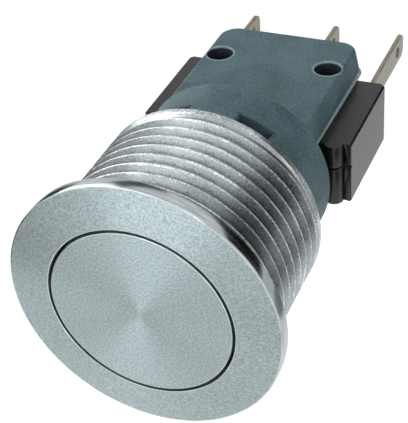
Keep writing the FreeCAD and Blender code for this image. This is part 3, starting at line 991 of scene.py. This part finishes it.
def lay_card(name, cloth, place, radius):
    """Round card that lies on the floor."""
    bm = bmesh.new()
    bmesh.ops.create_circle(bm, cap_ends=True, radius=radius, segments=48)
    bmesh.ops.translate(bm, vec=(place[0], place[1], FLOOR_Z + MM), verts=bm.verts)
    show_only_in_reflections(stage_piece(name, bm, cloth))


def set_softbox(name, direction, size, watts, mirrored=True):
    """Area lamp of a width and height that looks at the part. A fill isn't mirrored by the metal."""
    data = bpy.data.lights.new(name, "AREA")
    data.shape = "RECTANGLE"
    data.size, data.size_y = size
    data.energy = watts
    lamp = link_new(name, data)
    aim = Vector(direction).normalized()
    lamp.location = CAMERA_TARGET * MM + aim * LAMP_DISTANCE
    lamp.rotation_euler = aim.to_track_quat("Z", "Y").to_euler()
    lamp.visible_camera = False
    lamp.visible_glossy = mirrored


def light_studio():
    """White surroundings, softboxes in front, at the left and above, a fill, and cards to be reflected."""
    world = bpy.data.worlds.new("studio")
    world.use_nodes = True
    tree = world.node_tree
    tree.nodes.clear()
    strength = spread(tree, seen_directly(tree), WORLD_FILL, 1.0, 0.0, 1.0)
    sky = add(tree, "Background", {"Color": linear("#FFFFFF"), "Strength": strength})
    add(tree, "OutputWorld", {"Surface": sky.outputs["Background"]})
    bpy.context.scene.world = world
    set_softbox("softbox_front", direction=(-0.14, -0.95, 0.26), size=(0.32, 0.16), watts=0.78)
    set_softbox("softbox_left", direction=(-0.85, 0.15, 0.55), size=(0.25, 0.25), watts=0.65)
    set_softbox("softbox_top", direction=(-0.35, -0.62, 0.69), size=(0.22, 0.22), watts=0.1)
    set_softbox("fill_right", direction=(0.9, -0.3, 0.3), size=(0.25, 0.25), watts=0.24, mirrored=False)
    velvet = card_cloth("black velvet", "#0A0A0A", "#141414")
    felt = card_cloth("grey felt", "#5C5C5C", "#686868")
    linen = card_cloth("pale linen", "#A4A4A4", "#B0B0B0")
    hang_card("card_right_front", velvet, azimuths=(22, 80), elevations=(-8, 33))
    hang_card("card_right_back", velvet, azimuths=(110, 170), elevations=(2, 37))
    hang_card("card_left", velvet, azimuths=(-128, -66), elevations=(-12, 13))
    hang_card("card_upper_left", linen, azimuths=(-85, -46), elevations=(13, 34))
    hang_card("card_back", felt, azimuths=(-176, -132), elevations=(37, 52))
    lay_card("card_floor_left", felt, place=(-0.13, -0.07), radius=0.055)
    lay_card("card_floor_right", velvet, place=(0.14, -0.07), radius=0.07)
    lay_card("card_floor_back", linen, place=(0.14, 0.13), radius=0.075)


def main():
    """Build and place every piece, dress the rest of the solids, and set up the studio."""
    bpy.context.scene.view_settings.view_transform = "Standard"
    steel = turned_stainless_steel()
    edge_steel = polished_edge_steel()
    slate = slate_polyamide()
    black = black_phenolic()
    tinned = rolled_metal("tinned brass strip", "#6E6859", "#9C9584", roughness=0.3, streak_mm=0.12)
    blued = rolled_metal("blued steel pin", "#2E2A28", "#4A4542", roughness=0.3, streak_mm=0.1)
    build_housing(steel, threaded_stainless_steel(), edge_steel)
    build_button(steel, edge_steel)
    build_carrier(slate)
    build_case_half("case_lower_half", "switch_base", -1, black)
    build_case_half("case_upper_half", "switch_cover", 1, black)
    build_pins(blued)
    for node in TERMINALS:
        build_terminal(node, tinned)
    finishes = {
        "stainless_steel": steel,
        "slate_plastic": slate,
        "black_plastic": black,
        "tinned_brass": tinned,
        "spring_steel": rolled_metal("spring steel", "#8C8C8A", "#B4B4B1", roughness=0.28, streak_mm=0.1),
        "contact_brass": rolled_metal("contact brass", "#B08A48", "#D2AE6A", roughness=0.3, streak_mm=0.12),
        "contact_silver": rolled_metal("contact silver", "#C9C8C4", "#E6E5E1", roughness=0.25, streak_mm=0.2),
        "acetal": moulded_polymer("natural acetal", "#DAD8D0", "#E9E7E0", roughness=0.4, ior=1.48),
        "seal_rubber": moulded_polymer("seal rubber", "#161616", "#232323", roughness=0.7, ior=1.52),
    }
    for subpart in frame["record"]["subparts"]:
        mesh = frame["nodes"][subpart["node"]].data
        mesh.materials.clear()
        mesh.materials.append(finishes[subpart["material_slot"]])
    let_springs_give()
    stand_camera()
    lay_floor()
    light_studio()


main()
